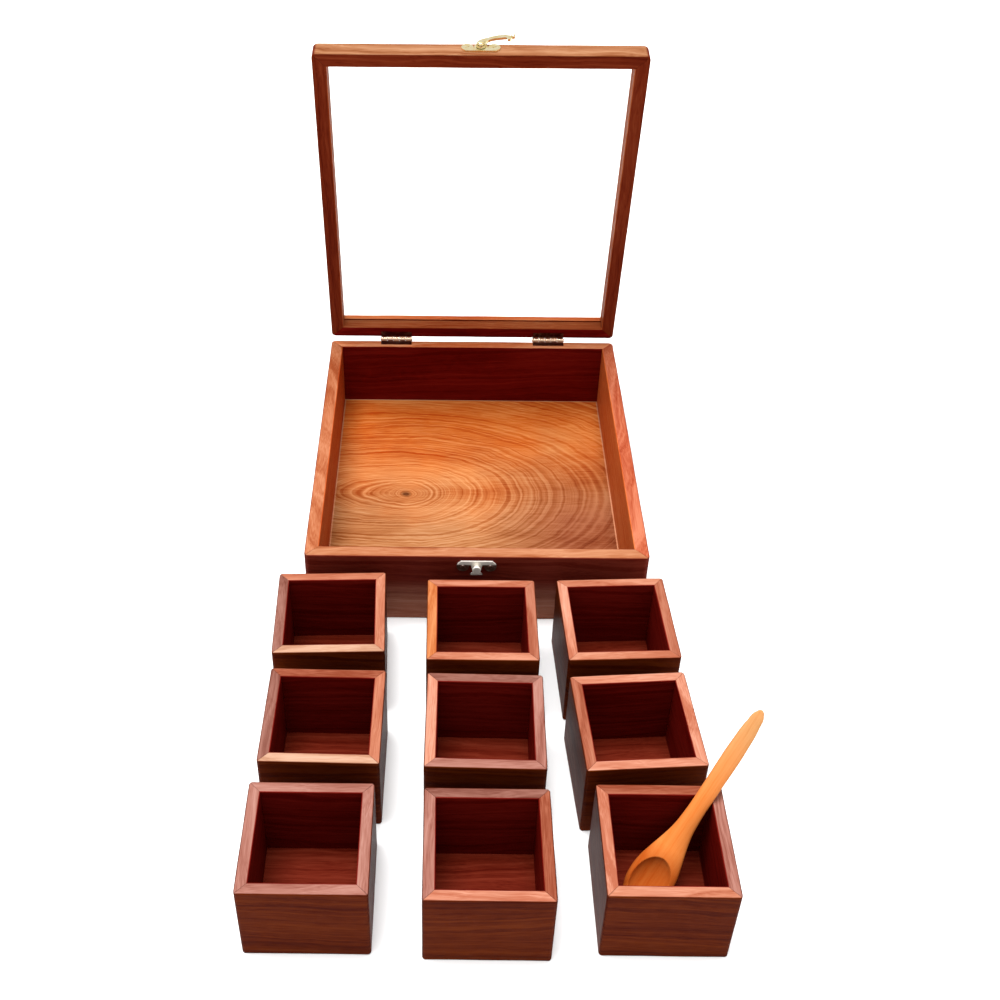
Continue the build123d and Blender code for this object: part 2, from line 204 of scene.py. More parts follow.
def mitred_board(side, size, wall, corner, outline, ease, place, seed, cut=None, spans=()):
    """Points of one mitred board. Its section, as corners (depth from the face, height), is
    carried from mitre to mitre; a point of the section lies as far between the station's outer
    point and inner point as its depth is of the wall. Within the spans the section is cut."""
    half_run = (size[0] if side in ("front", "back") else size[1]) / 2
    hair = 0.02 * MM
    breaks = [edge for a, b in spans for edge in (a - hair, a, b, b + hair)]
    outer_run, outer_inset, inner_run = stations(half_run, wall, corner, breaks)
    count = len(outer_run)
    corners = np.repeat(np.array(outline, float)[None], count, axis=0)
    within = np.zeros(count, bool)
    for a, b in spans:
        within |= (outer_run > a - hair / 2) & (outer_run < b + hair / 2)
    if cut is not None:
        corners[within] = np.array(cut, float)
    ease = np.array(ease, float)[None]
    radii = ease + np.minimum(ease, WORN_EASE) * waver(outer_run, seed, 0.5)[:, None]
    loop = sections(corners, radii)
    depth, height = loop[..., 0], loop[..., 1]
    tall = height.max()
    # the ends of each mitre are rubbed back, which leaves a fine line at the joint
    shrink = np.zeros(count)
    shrink[[0, -1]] = MITRE_OPEN
    depth = depth + shrink[:, None] * (1 - 2 * depth / wall)
    height = height + shrink[:, None] * (1 - 2 * height / tall)
    share = depth / wall
    run = outer_run[:, None] + share * (inner_run - outer_run)[:, None]
    inset = outer_inset[:, None] + share * (wall - outer_inset)[:, None]
    worn_face = (0.5 + 0.5 * waver(run + height * 0.7, seed + 1, 1.0)) * (1 - share)
    worn_top = (0.5 + 0.5 * waver(run, seed + 2, 1.0)) * (height / tall) ** 8
    inset = inset + HAND_SANDING * worn_face
    height = height - HAND_SANDING * worn_top * (~within[:, None])
    points = np.stack([run, height, -inset], axis=-1)
    turn, origin = place
    return points @ turn.T + origin


def hermite(at, places, values):
    """A smooth curve through values at places: between neighbours a cubic whose end slopes are
    the central differences there."""
    slopes = np.gradient(values, places)
    k = np.clip(np.searchsorted(places, at) - 1, 0, len(places) - 2)
    width = places[k + 1] - places[k]
    t = (at - places[k]) / width
    rise = (1 + 2 * t) * (1 - t) ** 2 * values[k] + t**2 * (3 - 2 * t) * values[k + 1]
    bend = t * (1 - t) ** 2 * slopes[k] + t**2 * (t - 1) * slopes[k + 1]
    return rise + width * bend


# the spoon's sections, in millimetres: place along it, half width, half thickness, middle's height
SPOON_SECTIONS = np.array(
    [
        (-18.5, 0.4, 0.3, 1.5),
        (-18.2, 2.4, 1.2, 1.4),
        (-16.0, 6.8, 2.6, 0.6),
        (-9.0, 11.2, 4.2, -0.8),
        (0.0, 12.6, 4.8, -1.4),
        (8.0, 12.0, 4.7, -2.2),
        (16.0, 10.0, 4.1, -3.0),
        (24.0, 7.8, 3.4, -3.2),
        (32.0, 6.0, 3.0, -2.8),
        (45.0, 4.9, 2.6, -1.4),
        (60.0, 4.8, 2.4, 0.0),
        (90.0, 4.9, 2.1, 0.8),
        (104.0, 4.0, 1.8, 0.4),
        (111.3, 2.4, 1.3, 0.1),
        (113.1, 1.0, 0.8, 0.0),
        (113.5, 0.2, 0.2, 0.0),
    ]
)
BOWL_HOLLOW = np.array([15.8, 10.6, 6.6])
BOWL_RIM = 3.5


def spoon_points(place, steps=300, around=112):
    """Points of the spoon. Round each section, at turn t, a point stands cos t of the half width
    across and sin t of the half thickness up from the middle. Inside the bowl's rim a point
    lies no higher than the hollow, the lower half of an ellipsoid."""
    along = np.linspace(0, 1, steps)
    first, last = SPOON_SECTIONS[0, 0], SPOON_SECTIONS[-1, 0]
    along = first + (last - first) * (0.5 * along + 0.5 * (1 - np.cos(np.pi * along)) / 2)
    half_width, half_thick, middle = (
        hermite(along, SPOON_SECTIONS[:, 0], column)[:, None] for column in SPOON_SECTIONS.T[1:]
    )
    turn = np.linspace(0, 2 * np.pi, around, endpoint=False)[None]
    across = half_width * np.cos(turn)
    height = middle + half_thick * np.sin(turn)
    long_way, wide_way, deep = BOWL_HOLLOW
    inside = 1 - (along[:, None] / long_way) ** 2 - (across / wide_way) ** 2
    hollow = BOWL_RIM - deep * np.sqrt(np.maximum(inside, 0))
    height = np.where((inside > 0) & (np.sin(turn) > 0), np.minimum(height, hollow), height)
    points = np.stack([along[:, None] + 0 * across, across, height], axis=-1) * MM
    turned, origin = place
    return points @ turned.T + origin


# finishes -----------------------------------------------------------------------------------


def linear(hex_colour):
    """An sRGB hex colour as linear red, green, blue and alpha."""
    parts = np.array([int(hex_colour[i : i + 2], 16) for i in (1, 3, 5)]) / 255
    light = np.where(parts <= 0.04045, parts / 12.92, ((parts + 0.055) / 1.055) ** 2.4)
    return (*light.tolist(), 1.0)


def add_node(tree, kind, inputs=None, stops=None, **settings):
    """A node with its settings, its inputs set to values or linked to sockets, and its ramp's
    stops as pairs of position and colour."""
    node = tree.nodes.new(kind)
    for key, value in settings.items():
        setattr(node, key, value)
    for key, value in (inputs or {}).items():
        if isinstance(value, bpy.types.NodeSocket):
            tree.links.new(value, node.inputs[key])
        else:
            node.inputs[key].default_value = value
    if stops:
        ramp = node.color_ramp.elements
        while len(ramp) < len(stops):
            ramp.new(1.0)
        for element, (position, colour) in zip(ramp, stops):
            element.position = position
            element.color = colour
    return node


def new_material(name):
    """An empty material with a Principled shader; returns it, its tree and the shader."""
    material = bpy.data.materials.new(name)
    material.use_nodes = True
    tree = material.node_tree
    tree.nodes.clear()
    shader = add_node(tree, "ShaderNodeBsdfPrincipled")
    add_node(tree, "ShaderNodeOutputMaterial", {"Surface": shader.outputs[0]})
    return material, tree, shader


# Sheesham (Indian rosewood), planed, sanded and rubbed with a satin oil varnish: reddish brown
# with darker streaks along the growth rings and fine open pores. The faces took the stain deeply;
# the sanded upper edges stayed paler, and their tones also carry painted top light and sheen. Each
# is a middle tone and its grain's contrast.
TIMBERS = {
    # faces
    # deep red is the inner faces' tone, darker and redder as painted shade inside the box and the
    # cups
    "deep red": ("#630e08", 0.22),
    "box face": ("#661f14", 0.22),
    "box front low": ("#8d5846", 0.22),
    "cup face": ("#4e1802", 0.22),
    "lid face": ("#62200c", 0.24),
    # the lid's back rail's mating face, darker as painted shade
    "lid face back": ("#620b07", 0.24),
    "lid reveal": ("#9d4d29", 0.30),
    # the box's inner side walls: the right is paler as painted light falling from the left, the
    # left darker as painted shade
    "inside left": ("#a9481d", 0.2),
    "inside right": ("#bb5c2c", 0.2),
    "cup floor": ("#5d1b0e", 0.22),
    # sanded upper edges; on the box's and the cups' rims they are paler also as painted top light
    # and sheen
    "pale": ("#a87f67", 0.30),
    "tan": ("#a0624a", 0.33),
    "salmon": ("#ac7059", 0.33),
    "orange": ("#a55e34", 0.33),
    "rose": ("#8d5d51", 0.30),
    "russet": ("#8b4e39", 0.30),
    "umber": ("#764a3f", 0.30),
    "lid top": ("#8f5d3d", 0.38),
    "rim front": ("#9a5f3f", 0.34),
    "rim left": ("#9e5c3c", 0.34),
    "rim right": ("#a35338", 0.34),
    "rim back": ("#cd7a50", 0.34),
    # floor panel
    "gold": ("#98613a", 0.42),
    "amber": ("#be6024", 0.5),
    "purple": ("#753b22", 0.36),
    "knot": ("#5a3018", 0.2),
    "glue line": ("#b87a58", 0.2),
    # spoon, a fruit wood
    "handle": ("#bc8350", 0.12),
    "shank": ("#d77937", 0.12),
    "bowl": ("#b2541d", 0.12),
}


# how much the clouds of stain count beside the growth rings
CLOUD_SHARE = 0.9
# how far from the knot the rings stay round
KNOT_ROUND = 15 * MM
# a rubbed oil varnish mirrors very little
VARNISH_SHEEN = 0.012


def grain_space(tree, place, pith, turn, sway_size):
    """Coordinates that run with a board's grain, gently swayed; returns the board's own
    coordinates and the swayed ones."""
    turned, origin = place
    board = add_node(
        tree,
        "ShaderNodeMapping",
        {
            "Vector": add_node(tree, "ShaderNodeTexCoord").outputs["Object"],
            "Location": origin.tolist(),
            "Rotation": Matrix(turned.tolist()).to_euler()[:],
        },
        vector_type="TEXTURE",
    ).outputs[0]
    grain = add_node(
        tree, "ShaderNodeMapping", {"Vector": board, "Location": pith, "Rotation": turn}
    ).outputs[0]
    # the sway is 20 to 80 mm long
    slow = add_node(tree, "ShaderNodeMapping", {"Vector": grain, "Scale": (14, 45, 45)}).outputs[0]
    sway = add_node(
        tree, "ShaderNodeTexNoise", {"Vector": slow, "Scale": 1.0, "Detail": 2.0}
    ).outputs["Color"]
    swayed = add_node(
        tree,
        "ShaderNodeVectorMath",
        {0: sway, 1: (0.0, sway_size, sway_size), 2: grain},
        operation="MULTIPLY_ADD",
    ).outputs[0]
    return board, swayed


def fibre_marks(tree, swayed, width):
    """Fibres and pores: a noise drawn out thirty times along the grain."""
    fine = add_node(
        tree,
        "ShaderNodeMapping",
        {"Vector": swayed, "Scale": (1 / (30 * width), 1 / width, 1 / width)},
    ).outputs[0]
    return add_node(
        tree, "ShaderNodeTexNoise", {"Vector": fine, "Scale": 1.0, "Detail": 3.0}
    ).outputs["Fac"]


def ring_level(tree, swayed, distance, fibres, spacing, fibre_share):
    """Growth rings, fibres and broad clouds of stain together, from 0 for the darkest streaks
    to 1 for the palest."""
    rings = add_node(
        tree,
        "ShaderNodeTexNoise",
        {"W": distance, "Scale": 1 / spacing, "Detail": 3.0, "Roughness": 0.6},
        noise_dimensions="1D",
    ).outputs["Fac"]
    marked = add_node(
        tree, "ShaderNodeMath", {0: fibres, 1: fibre_share, 2: rings}, operation="MULTIPLY_ADD"
    ).outputs[0]
    # the clouds are 25 mm across and four times as long
    across, along = 1 / (25 * MM), 1 / (100 * MM)
    broad = add_node(
        tree, "ShaderNodeMapping", {"Vector": swayed, "Scale": (along, across, across)}
    ).outputs[0]
    clouds = add_node(
        tree, "ShaderNodeTexNoise", {"Vector": broad, "Scale": 1.0, "Detail": 3.0}
    ).outputs["Fac"]
    both = add_node(
        tree, "ShaderNodeMath", {0: clouds, 1: CLOUD_SHARE, 2: marked}, operation="MULTIPLY_ADD"
    ).outputs[0]
    # each noise is 0.5 on average; the tones run over 0.34 either side of the sum's middle
    middle = 0.5 * (fibre_share + 1 + CLOUD_SHARE)
    return add_node(
        tree,
        "ShaderNodeMapRange",
        {"Value": both, "From Min": middle - 0.34, "From Max": middle + 0.34},
    ).outputs[0]


def oiled(tree, shader, fibres, smooth, coarse, relief):
    """Satin oil varnish over the fibres: smoother on the ridges, and a faint relief."""
    rough = add_node(
        tree,
        "ShaderNodeMapRange",
        {"Value": fibres, "From Min": 0.3, "From Max": 0.7, "To Min": coarse, "To Max": smooth},
    ).outputs[0]
    tree.links.new(rough, shader.inputs["Roughness"])
    bump = add_node(
        tree, "ShaderNodeBump", {"Height": fibres, "Strength": relief, "Distance": 0.3 * MM}
    ).outputs[0]
    tree.links.new(bump, shader.inputs["Normal"])
    shader.inputs["Specular IOR Level"].default_value = VARNISH_SHEEN


def timber_tones(tree, level, timber):
    """A timber's tones over a level. Raising its linear colour to a power above or below one
    makes it darker and redder, or paler and greyer."""
    tone, contrast = TIMBERS[timber]
    power = 1 + contrast * np.array([1.0, 0.0, -0.6])
    colours = [(*(np.array(linear(tone)[:3]) ** p).tolist(), 1.0) for p in power]
    stops = list(zip((0.05, 0.5, 0.95), colours))
    return add_node(tree, "ShaderNodeValToRGB", {"Fac": level}, stops=stops).outputs[0]


def laid_over(tree, below, share, level, timber):
    """A colour with a timber laid over it: none of it where share is 0, only it where it is 1."""
    above = timber_tones(tree, level, timber)
    return add_node(
        tree, "ShaderNodeMix", {0: share, 6: below, 7: above}, data_type="RGBA"
    ).outputs[2]


def sheesham(name, timber, place, seed, lean=0.0, skins=()):
    """Sheesham for one board. The grain runs along the board's own X, turned by lean on the face.
    Distance from the tree's pith gives the rings; the pith is somewhere under the board. Skins
    are other timbers laid over parts of it: an axis of the board, where on it the skin starts
    and is whole, and its timber."""
    material, tree, shader = new_material(name)
    rng = np.random.default_rng(seed)
    # how far off the pith is, in metres, and how far the grain dives, in radians
    pith = (rng.uniform(-0.3, 0.3), rng.uniform(0.02, 0.05), rng.uniform(0.02, 0.06))
    turn = (0, rng.uniform(-0.03, 0.03), lean)
    board, swayed = grain_space(tree, place, pith, turn, sway_size=10 * MM)
    across = add_node(
        tree, "ShaderNodeVectorMath", {0: swayed, 1: (0, 1, 1)}, operation="MULTIPLY"
    ).outputs[0]
    distance = add_node(
        tree, "ShaderNodeVectorMath", {0: across}, operation="LENGTH"
    ).outputs["Value"]
    fibres = fibre_marks(tree, swayed, width=0.5 * MM)
    level = ring_level(tree, swayed, distance, fibres, spacing=3 * MM, fibre_share=0.9)
    colour = timber_tones(tree, level, timber)
    for axis, start, whole, skin in skins:
        along = add_node(tree, "ShaderNodeSeparateXYZ", {0: board}).outputs[axis]
        share = add_node(
            tree, "ShaderNodeMapRange", {"Value": along, "From Min": start, "From Max": whole}
        ).outputs[0]
        colour = laid_over(tree, colour, share, level, skin)
    tree.links.new(colour, shader.inputs["Base Color"])
    oiled(tree, shader, fibres, smooth=0.36, coarse=0.5, relief=0.12)
    return material


def figured_sheesham(name, place, knot):
    """The floor panel: sheesham cut through a knot, planed and oiled. Rings are round close to
    the knot; farther out they are stretched along the grain, more so on its left. The tone goes
    from gold at the knot through amber at the back to a purplish brown at the right."""
    material, tree, shader = new_material(name)
    pith = (-knot[0], -knot[1], 0)
    sway_size, ripple_size = 9 * MM, 3 * MM
    board, swayed = grain_space(tree, place, pith, (0, 0, 0), sway_size)
    # the ripple is about 11 mm long
    ripple = add_node(
        tree, "ShaderNodeTexNoise", {"Vector": swayed, "Scale": 90.0, "Detail": 2.0}
    ).outputs["Color"]
    rippled = add_node(
        tree,
        "ShaderNodeVectorMath",
        {0: ripple, 1: (ripple_size, ripple_size, 0.0), 2: swayed},
        operation="MULTIPLY_ADD",
    ).outputs[0]
    # the two noises average half their size, so the centre is that much to one side
    aside = np.array([ripple_size, ripple_size + sway_size, sway_size]) / 2
    centred = add_node(
        tree,
        "ShaderNodeVectorMath",
        {0: rippled, 1: aside.tolist()},
        operation="SUBTRACT",
    ).outputs[0]
    x, y, _ = add_node(tree, "ShaderNodeSeparateXYZ", {0: centred}).outputs
    flat = add_node(tree, "ShaderNodeCombineXYZ", {0: x, 1: y}).outputs[0]
    plain_distance = add_node(
        tree, "ShaderNodeVectorMath", {0: flat}, operation="LENGTH"
    ).outputs["Value"]
    # the roundness dies away from the knot by a power of e
    scaled = add_node(
        tree, "ShaderNodeMath", {0: plain_distance, 1: -1 / KNOT_ROUND}, operation="MULTIPLY"
    ).outputs[0]
    close = add_node(tree, "ShaderNodeMath", {0: scaled}, operation="EXPONENT").outputs[0]
    side = add_node(
        tree,
        "ShaderNodeMapRange",
        {"Value": x, "From Min": -15 * MM, "From Max": 30 * MM, "To Min": 0.34, "To Max": 0.62},
    ).outputs[0]
    stretch = add_node(
        tree, "ShaderNodeMix", {0: close, 2: side, 3: 1.0}, data_type="FLOAT"
    ).outputs[0]
    run = add_node(tree, "ShaderNodeMath", {0: x, 1: stretch}, operation="MULTIPLY").outputs[0]
    squeezed = add_node(tree, "ShaderNodeCombineXYZ", {0: run, 1: y}).outputs[0]
    distance = add_node(
        tree, "ShaderNodeVectorMath", {0: squeezed}, operation="LENGTH"
    ).outputs["Value"]
    # rings crowd together towards the knot
    crowded = add_node(tree, "ShaderNodeMath", {0: distance, 1: 0.7}, operation="POWER").outputs[0]
    fibres = fibre_marks(tree, swayed, width=0.7 * MM)
    level = ring_level(tree, swayed, crowded, fibres, spacing=3.6 * MM, fibre_share=0.7)
    # broad clouds of deeper colour, 40 mm across
    clouds = add_node(
        tree, "ShaderNodeTexNoise", {"Vector": swayed, "Scale": 24.0, "Detail": 3.0}
    ).outputs["Fac"]
    clouded = add_node(
        tree, "ShaderNodeMath", {0: clouds, 1: 90 * MM, 2: y}, operation="MULTIPLY_ADD"
    ).outputs[0]
    # where each tone starts and is whole, from the knot
    reaches = {
        "back": (clouded, 10 * MM, 130 * MM),
        "right": (x, 50 * MM, 120 * MM),
        "ahead": (y, 60 * MM, -30 * MM),
        "eye": (plain_distance, 5 * MM, 1.5 * MM),
    }
    share = {
        part: add_node(
            tree, "ShaderNodeMapRange", {"Value": way, "From Min": start, "From Max": whole}
        ).outputs[0]
        for part, (way, start, whole) in reaches.items()
    }
    dusk = add_node(
        tree, "ShaderNodeMath", {0: share["right"], 1: share["ahead"]}, operation="MULTIPLY"
    ).outputs[0]
    body = timber_tones(tree, level, "gold")
    body = laid_over(tree, body, share["back"], level, "amber")
    body = laid_over(tree, body, dusk, level, "purple")
    body = laid_over(tree, body, share["eye"], level, "knot")
    # a line of dried glue where the panel meets the walls
    x, y, _ = add_node(tree, "ShaderNodeSeparateXYZ", {0: board}).outputs
    beyond = []
    for way, half in ((x, BOX_SIZE[0] / 2), (y, BOX_SIZE[1] / 2)):
        aside = add_node(tree, "ShaderNodeMath", {0: way}, operation="ABSOLUTE").outputs[0]
        glue_from = half - BOX_WALL - 1.1 * MM
        beyond.append(
            add_node(
                tree,
                "ShaderNodeMapRange",
                {"Value": aside, "From Min": glue_from, "From Max": glue_from + 0.3 * MM},
            ).outputs[0]
        )
    glue = add_node(
        tree, "ShaderNodeMath", {0: beyond[0], 1: beyond[1]}, operation="MAXIMUM"
    ).outputs[0]
    body = laid_over(tree, body, glue, level, "glue line")
    tree.links.new(body, shader.inputs["Base Color"])
    oiled(tree, shader, fibres, smooth=0.3, coarse=0.42, relief=0.08)
    return material


def spoon_wood(name, place):
    """Light orange fruit wood, carved, scraped and oiled: fine, even grain, paler and more
    golden towards the handle's end."""
    material, tree, shader = new_material(name)
    pith = (0, 30 * MM, 12 * MM)
    board, swayed = grain_space(tree, place, pith, (0, 0, 0), sway_size=2 * MM)
    _, y, _ = add_node(tree, "ShaderNodeSeparateXYZ", {0: swayed}).outputs
    fibres = fibre_marks(tree, swayed, width=0.4 * MM)
    level = ring_level(tree, swayed, y, fibres, spacing=2.5 * MM, fibre_share=0.8)
    up = add_node(tree, "ShaderNodeSeparateXYZ", {0: board}).outputs["X"]
    colour = timber_tones(tree, level, "bowl")
    for start, whole, timber in ((10 * MM, 22 * MM, "shank"), (50 * MM, 100 * MM, "handle")):
        share = add_node(
            tree, "ShaderNodeMapRange", {"Value": up, "From Min": start, "From Max": whole}
        ).outputs[0]
        colour = laid_over(tree, colour, share, level, timber)
    tree.links.new(colour, shader.inputs["Base Color"])
    oiled(tree, shader, fibres, smooth=0.26, coarse=0.42, relief=0.1)
    return material


def brass(name, clean_and_lit, worn_and_shaded, smooth, coarse, bright=None, metallic=1.0):
    """Brass, rolled and polished: cloudy tarnish 4 mm across over fine rolling marks. Bright, if
    given, takes the tree and the object coordinates and returns where the paler tone goes as a
    painted highlight; elsewhere the darker tone is painted shade."""
    material, tree, shader = new_material(name)
    seen = add_node(tree, "ShaderNodeTexCoord").outputs["Object"]
    clouds = add_node(
        tree, "ShaderNodeTexNoise", {"Vector": seen, "Scale": 1 / (4 * MM), "Detail": 4.0}
    ).outputs["Fac"]
    # the rolling marks are 0.25 mm wide and ten times as long
    across, along = 1 / (0.25 * MM), 1 / (2.5 * MM)
    rolled = add_node(
        tree, "ShaderNodeMapping", {"Vector": seen, "Scale": (along, across, across)}
    ).outputs[0]
    marks = add_node(
        tree, "ShaderNodeTexNoise", {"Vector": rolled, "Scale": 1.0, "Detail": 2.0}
    ).outputs["Fac"]
    shine = add_node(
        tree, "ShaderNodeMapRange", {"Value": clouds, "From Min": 0.35, "From Max": 0.6}
    ).outputs[0]
    if bright:
        cloudy = add_node(
            tree,
            "ShaderNodeMapRange",
            {"Value": clouds, "From Min": 0.3, "From Max": 0.7, "To Min": -0.08, "To Max": 0.08},
        ).outputs[0]
        shine = add_node(
            tree,
            "ShaderNodeMath",
            {0: bright(tree, seen), 1: cloudy},
            operation="ADD",
            use_clamp=True,
        ).outputs[0]
    # the paler tone is polished metal, and a painted highlight where bright is given; the darker
    # is tarnish, and painted shade where bright is given
    tones = [(0.0, linear(worn_and_shaded)), (1.0, linear(clean_and_lit))]
    colour = add_node(tree, "ShaderNodeValToRGB", {"Fac": shine}, stops=tones).outputs[0]
    rough = add_node(
        tree, "ShaderNodeMapRange", {"Value": shine, "To Min": coarse, "To Max": smooth}
    ).outputs[0]
    bump = add_node(
        tree, "ShaderNodeBump", {"Height": marks, "Strength": 0.06, "Distance": 0.05 * MM}
    ).outputs[0]
    tree.links.new(colour, shader.inputs["Base Color"])
    tree.links.new(rough, shader.inputs["Roughness"])
    tree.links.new(bump, shader.inputs["Normal"])
    shader.inputs["Metallic"].default_value = metallic
    return material


def near_pin(tree, seen):
    """The hinges' knuckles take the paler tone as painted glints; the leaves take a dark reddish
    tone like the wood's as painted shade.
    """
    from_axis = add_node(
        tree,
        "ShaderNodeVectorMath",
        {0: seen, 1: (0, *HINGE_AXIS[1:].tolist())},
        operation="SUBTRACT",
    ).outputs[0]
    across = add_node(
        tree, "ShaderNodeVectorMath", {0: from_axis, 1: (0, 1, 1)}, operation="MULTIPLY"
    ).outputs[0]
    distance = add_node(
        tree, "ShaderNodeVectorMath", {0: across}, operation="LENGTH"
    ).outputs["Value"]
    return add_node(
        tree,
        "ShaderNodeMapRange",
        {"Value": distance, "From Min": 2.5 * MM, "From Max": 2.15 * MM},
    ).outputs[0]


def near_catch(tree, seen):
    """The strike plate is pale along its upper edge and round the catch as a painted highlight,
    dark in its lobes as painted shade.
    """
    x, _, z = add_node(tree, "ShaderNodeSeparateXYZ", {0: seen}).outputs
    aside = add_node(tree, "ShaderNodeMath", {0: x}, operation="ABSOLUTE").outputs[0]
    middle, upper = (
        add_node(
            tree, "ShaderNodeMapRange", {"Value": way, "From Min": start, "From Max": whole}
        ).outputs[0]
        for way, start, whole in ((aside, 4.0 * MM, 3.2 * MM), (z, 51.6 * MM, 52.4 * MM))
    )
    return add_node(tree, "ShaderNodeMath", {0: middle, 1: upper}, operation="MAXIMUM").outputs[0]


def float_glass(name):
    """Clear float glass with a breath of wiping marks 30 mm across."""
    material, tree, shader = new_material(name)
    seen = add_node(tree, "ShaderNodeTexCoord").outputs["Object"]
    wiped = add_node(
        tree, "ShaderNodeTexNoise", {"Vector": seen, "Scale": 33.0, "Detail": 3.0}
    ).outputs["Fac"]
    rough = add_node(
        tree, "ShaderNodeMapRange", {"Value": wiped, "To Min": 0.0, "To Max": 0.03}
    ).outputs[0]
    tree.links.new(rough, shader.inputs["Roughness"])
    shader.inputs["Base Color"].default_value = linear("#fbfffd")
    shader.inputs["IOR"].default_value = 1.5
    shader.inputs["Transmission Weight"].default_value = 1.0
    return material


# box ----------------------------------------------------------------------------------------

box_place = (np.eye(3), np.zeros(3))
lid_turn = np.array(
    [
        [1, 0, 0],
        [0, np.cos(LID_OPEN), np.sin(LID_OPEN)],
        [0, -np.sin(LID_OPEN), np.cos(LID_OPEN)],
    ]
)
lid_place = set_in(
    (lid_turn, HINGE_AXIS), (np.eye(3), np.array([0, -HINGE_OFFSET - BOX_SIZE[1] / 2, LID_UNDER]))
)
leaf_spans = [(x - LEAF_LENGTH / 2, x + LEAF_LENGTH / 2) for x in LEAF_CENTRES]

lip = BOX_WALL - GROOVE
box_outline = [
    (0, 0),
    (lip, 0),
    (lip, PANEL_THICKNESS),
    (BOX_WALL, PANEL_THICKNESS),
    (BOX_WALL, BOX_HEIGHT),
    (0, BOX_HEIGHT),
]
box_ease = np.array([0.5, 0.1, 0.1, 0.1, 0.6, 0.8]) * MM
# the back board and the lid's back rail are cut for the hinge leaves, a little past them
past_leaf = 0.3 * MM
cut_height = BOX_HEIGHT - LEAF_THICKNESS
box_outline_plain = box_outline[:5] + [
    (LEAF_REACH + past_leaf, BOX_HEIGHT),
    (LEAF_REACH, BOX_HEIGHT),
    (0, BOX_HEIGHT),
]
box_outline_cut = box_outline[:5] + [
    (LEAF_REACH + past_leaf, BOX_HEIGHT),
    (LEAF_REACH + past_leaf, cut_height),
    (0, cut_height),
]
box_ease_cut = np.array([0.5, 0.1, 0.1, 0.1, 0.6, 0.02, 0.02, 0.5]) * MM

# low down, the front board is paler and greyer
PALER_LOW_DOWN = [("Y", 36 * MM, 16 * MM, "box front low")]

for number, side in enumerate(OUTWARD):
    place = board_place(side, BOX_SIZE, box_place)
    with_leaves = side == "back"
    points = mitred_board(
        side,
        BOX_SIZE,
        BOX_WALL,
        BOX_CORNER,
        box_outline_plain if with_leaves else box_outline,
        box_ease_cut if with_leaves else box_ease,
        place,
        seed=10 + 3 * number,
        cut=box_outline_cut if with_leaves else None,
        spans=leaf_spans if with_leaves else (),
    )
    timber = sheesham(
        f"oiled_sheesham_box_{side}",
        "box face",
        place,
        seed=10 + number,
        lean=(0.0, 0.02, 0.1, -0.1)[number],
        skins=arrised(
            BOX_HEIGHT,
            BOX_WALL,
            # the rim: sanded, and paler also as painted top light and sheen
            f"rim {side}",
            "box face",
            # inner faces: painted shade, the right side's paler as painted light from the left
            f"inside {side}" if side in ("left", "right") else "deep red",
        )
        + (PALER_LOW_DOWN if side == "front" else []),
    )
    mesh_piece(
        f"box_{side}",
        points,
        tube_faces(*points.shape[:2]),
        "box",
        [f"box_{side}_board"],
        timber,
    )

# lid ----------------------------------------------------------------------------------------

groove_from = LID_RAIL - GROOVE
lid_outline = [
    (0, 0),
    (LID_RAIL, 0),
    (LID_RAIL, GLASS_HEIGHT),
    (groove_from, GLASS_HEIGHT),
    (groove_from, GLASS_HEIGHT + GLASS_THICKNESS),
    (LID_RAIL, GLASS_HEIGHT + GLASS_THICKNESS),
    (LID_RAIL, LID_THICKNESS),
    (0, LID_THICKNESS),
]
lid_ease = np.array([0.6, 0.6, 0.3, 0.05, 0.05, 0.3, 0.9, 3.2]) * MM
lid_outline_plain = [(0, 0), (LEAF_REACH, 0), (LEAF_REACH + past_leaf, 0)] + lid_outline[1:]
lid_outline_cut = [
    (0, LEAF_THICKNESS),
    (LEAF_REACH + past_leaf, LEAF_THICKNESS),
    (LEAF_REACH + past_leaf, 0),
] + lid_outline[1:]
lid_ease_cut = np.array([0.6, 0.02, 0.02, 0.6, 0.3, 0.05, 0.05, 0.3, 0.9, 3.2]) * MM
for number, side in enumerate(OUTWARD):
    place = board_place(side, BOX_SIZE, lid_place)
    with_leaves = side == "back"
    points = mitred_board(
        side,
        BOX_SIZE,
        LID_RAIL,
        BOX_CORNER,
        lid_outline_plain if with_leaves else lid_outline,
        lid_ease_cut if with_leaves else lid_ease,
        place,
        seed=40 + 3 * number,
        cut=lid_outline_cut if with_leaves else None,
        spans=leaf_spans if with_leaves else (),
    )
    timber = sheesham(
        f"oiled_sheesham_lid_{side}",
        # the back rail's mating face is darker as painted shade
        "lid face back" if side == "back" else "lid face",
        place,
        seed=40 + number,
        skins=[
            ("Z", -0.5 * MM, -0.1 * MM, "lid top"),
            ("Z", 0.7 * MM - LID_RAIL, 0.2 * MM - LID_RAIL, "lid reveal"),
        ],
    )
    mesh_piece(
        f"lid_{side}",
        points,
        tube_faces(*points.shape[:2]),
        "lid",
        [f"lid_{side}_rail"],
        timber,
    )

# cups ---------------------------------------------------------------------------------------

CUP_TURNS = {
    "cup_back_left": 1.8,
    "cup_middle_left": -0.8,
    "cup_front_left": 0.0,
    "cup_back_middle": 0.0,
    "cup_centre": -0.9,
    "cup_front_middle": 0.0,
    "cup_back_right": 2.6,
    "cup_middle_right": 3.9,
    "cup_front_right": 0.0,
}
